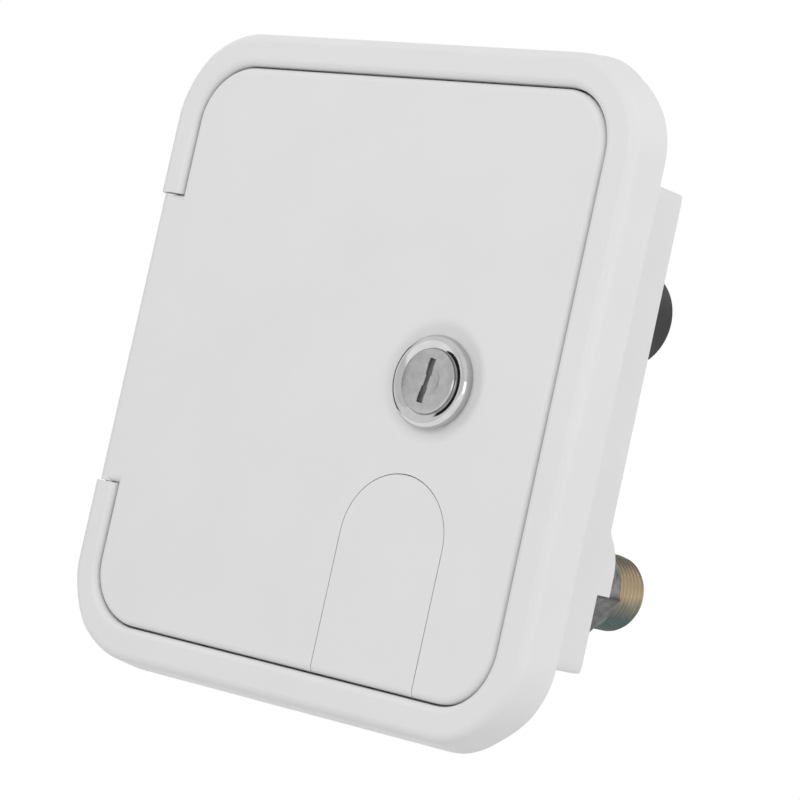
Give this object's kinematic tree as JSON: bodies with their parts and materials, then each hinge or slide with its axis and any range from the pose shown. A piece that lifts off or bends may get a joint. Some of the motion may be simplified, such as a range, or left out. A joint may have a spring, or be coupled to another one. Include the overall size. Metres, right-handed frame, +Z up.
{
  "type": "rv water inlet",
  "caption": "Flush wall hatch with a rounded bezel and hinged locking door over a capped gravity fill spout and a mains water inlet with check valve and swivel.",
  "frame": {"origin": "middle of the four-hole screw pattern, on the wall plane at the back of the flange", "axes": "+X right seen from the front, +Y into the wall, +Z up"},
  "size_m": [0.166, 0.105, 0.1828],
  "materials": {
    "white_plastic": "fine satin moulded white",
    "black_plastic": "satin black",
    "rubber": "matt black rubber",
    "chrome": "polished chrome plate",
    "steel": "zinc-plated steel",
    "cast_zinc": "dull grey cast zinc",
    "brass": "dull brass with a faint tarnish",
    "valve_plastic": "natural acetal"
  },
  "bodies": {
    "housing": {"housing": "white_plastic", "hinge_pins": "steel", "door_seal": "rubber", "fill_spout": "black_plastic", "fill_gasket": "rubber", "fill_screws": "steel", "check_valve_body": "cast_zinc", "inlet_gasket": "rubber", "inlet_screws": "steel", "threaded_nipple": "brass", "valve_guide": "valve_plastic", "valve_spring": "steel"},
    "door": {"door_panel": "white_plastic", "flap_pin": "steel", "lock_body": "chrome", "lock_nut": "steel"},
    "lock_core": {"lock_plug": "chrome", "lock_cam": "steel", "cam_screw": "steel"},
    "hose_flap": {"hose_flap": "white_plastic"},
    "fill_cap": {"fill_cap": "black_plastic", "fill_cap_seal": "rubber"},
    "swivel": {"swivel_collar": "brass", "hose_washer": "rubber"},
    "poppet": {"valve_poppet": "valve_plastic", "poppet_seal": "rubber"}
  },
  "joints": [
    {"name": "door_hinge", "type": "hinge", "parent": "housing", "child": "door", "pos_m": [-0.077, -0.0071, 0], "axis": [0, 0, -1], "range_deg": [0, 110]},
    {"name": "lock_turn", "type": "hinge", "parent": "door", "child": "lock_core", "pos_m": [0.0328, 0, 0], "axis": [0, -1, 0], "range_deg": [0, 90]},
    {"name": "flap_drop", "type": "hinge", "parent": "door", "child": "hose_flap", "pos_m": [0.0303, -0.0074, -0.077], "axis": [1, 0, 0], "range_deg": [0, 90]},
    {"name": "cap_turn", "type": "hinge", "parent": "housing", "child": "fill_cap", "pos_m": [0.0303, 0, 0.0343], "axis": [0, 1, 0], "range_deg": [-360, 0]},
    {"name": "swivel_turn", "type": "hinge", "parent": "housing", "child": "swivel", "pos_m": [0.0303, 0, -0.042], "axis": [0, -1, 0], "continuous": true},
    {"name": "poppet_lift", "type": "slide", "parent": "housing", "child": "poppet", "axis": [0, 1, 0], "range_m": [0, 0.004], "stiffness_N_per_m": 150, "springref_m": -0.004, "deforming": ["valve_spring"]}
  ]
}
